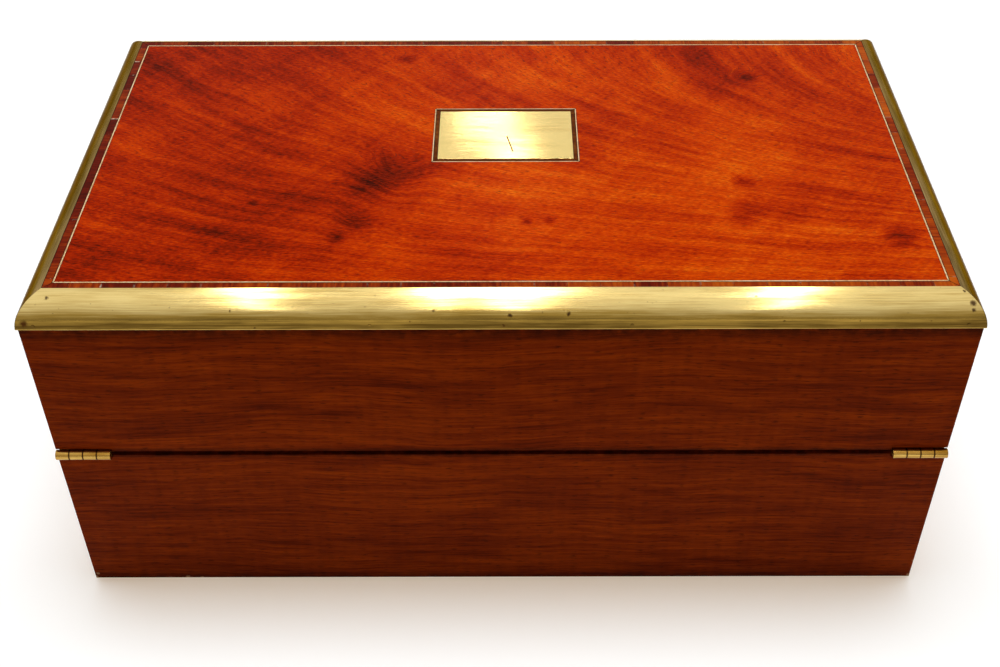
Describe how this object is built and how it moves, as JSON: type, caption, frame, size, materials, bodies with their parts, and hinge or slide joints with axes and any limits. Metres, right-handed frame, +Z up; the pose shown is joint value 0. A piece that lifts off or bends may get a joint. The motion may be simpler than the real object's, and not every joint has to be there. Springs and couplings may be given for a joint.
{
  "type": "writing slope",
  "caption": "Brass-edged wooden writing box, closed: the lid swings over on two end hinges and makes one sloping surface with the base.",
  "frame": {"origin": "centre of the underside, on the table", "axes": "+Z up, +X right seen from the hinge side, +Y from the hinge side to the lock side"},
  "size_m": [0.4078, 0.2649, 0.178],
  "materials": {
    "figured_veneer": "french polished",
    "side_wood": "french polished",
    "inner_wood": "satin",
    "crossband": "french polished",
    "stringing": "flush with the veneer",
    "brass": "old polish, fine scratches",
    "steel": "worn",
    "leather": "tooled hide",
    "baize": "felted",
    "glass": "clear moulded"
  },
  "bodies": {
    "base": {"base_hinge_wall": "side_wood", "base_lock_wall": "side_wood", "base_end_left": "side_wood", "base_end_right": "side_wood", "base_bottom": "inner_wood", "base_baize": "baize", "base_hinge_leaf_left": "brass", "base_hinge_leaf_right": "brass", "main_hinge_pins": "brass", "lock_case": "brass", "lock_plate": "brass", "key_escutcheon": "brass", "base_screws": "brass", "base_flap_rail": "side_wood", "base_flap_ledges": "inner_wood", "base_flap_hinge_fixed_leaves": "brass", "pen_divider": "inner_wood", "inkwell_dividers": "inner_wood", "pen_tray": "inner_wood", "pen_tray_bearers": "inner_wood", "inkwell_blocks": "inner_wood", "inkwell_left": "glass", "inkwell_right": "glass", "inkwell_collars": "brass"},
    "lid": {"lid_hinge_wall": "side_wood", "lid_lock_wall": "side_wood", "lid_end_left": "side_wood", "lid_end_right": "side_wood", "lid_hinge_leaf_left": "brass", "lid_hinge_leaf_right": "brass", "lid_screws": "brass", "link_plate": "brass", "lid_top_board": "inner_wood", "brass_edge_pins": "brass", "top_crossband": "crossband", "top_stringing": "stringing", "top_veneer": "figured_veneer", "plaque_stringing": "stringing", "plaque_band": "crossband", "centre_plaque": "brass", "brass_edge_hinge_side": "brass", "brass_edge_lock_side": "brass", "brass_edge_left": "brass", "brass_edge_right": "brass", "lid_flap_rail": "side_wood", "lid_flap_ledges": "inner_wood", "lid_flap_hinge_fixed_leaves": "brass"},
    "base_flap": {"base_flap_panel": "side_wood", "base_flap_leather": "leather", "base_flap_tab": "leather", "base_flap_hinge_moving_leaves": "brass"},
    "lid_flap": {"lid_flap_panel": "side_wood", "lid_flap_leather": "leather", "lid_flap_tab": "leather", "lid_flap_hinge_moving_leaves": "brass"},
    "inkwell_cap_left": {"inkwell_cap_left": "brass"},
    "inkwell_cap_right": {"inkwell_cap_right": "brass"},
    "lock_bolt": {"lock_bolt": "steel"},
    "key": {"key": "steel"}
  },
  "joints": [
    {"name": "lid_hinge", "type": "hinge", "parent": "base", "child": "lid", "pos_m": [0, -0.1158, 0.089], "axis": [1, 0, 0], "range_deg": [0, 180]},
    {"name": "base_flap_hinge", "type": "hinge", "parent": "base", "child": "base_flap", "pos_m": [0, -0.09202, 0.09078], "axis": [1, 0, 0], "range_deg": [0, 90]},
    {"name": "lid_flap_hinge", "type": "hinge", "parent": "lid", "child": "lid_flap", "pos_m": [0, -0.09245, 0.09385], "axis": [-1, 0, 0], "range_deg": [0, 90]},
    {"name": "inkwell_cap_left_hinge", "type": "hinge", "parent": "base", "child": "inkwell_cap_left", "pos_m": [-0.169, 0.097, 0.10267], "axis": [-1, 0, 0], "range_deg": [0, 90]},
    {"name": "inkwell_cap_right_hinge", "type": "hinge", "parent": "base", "child": "inkwell_cap_right", "pos_m": [0.169, 0.097, 0.10267], "axis": [-1, 0, 0], "range_deg": [0, 90]},
    {"name": "key_turn", "type": "hinge", "parent": "base", "child": "key", "pos_m": [0, 0.115, 0.09322], "axis": [0, 1, 0], "range_deg": [0, 360]},
    {"name": "bolt_throw", "type": "slide", "parent": "base", "child": "lock_bolt", "axis": [1, 0, 0], "range_m": [0, 0.0045]}
  ],
  "couplings": [
    {"joint": "base_flap_hinge", "follows": "lid_hinge", "ratio": 0.5},
    {"joint": "lid_flap_hinge", "follows": "lid_hinge", "ratio": 0.5},
    {"joint": "inkwell_cap_left_hinge", "follows": "lid_hinge", "ratio": 0.5},
    {"joint": "inkwell_cap_right_hinge", "follows": "lid_hinge", "ratio": 0.5},
    {"joint": "bolt_throw", "follows": "key_turn", "m_per_rad": 0.00071619}
  ]
}
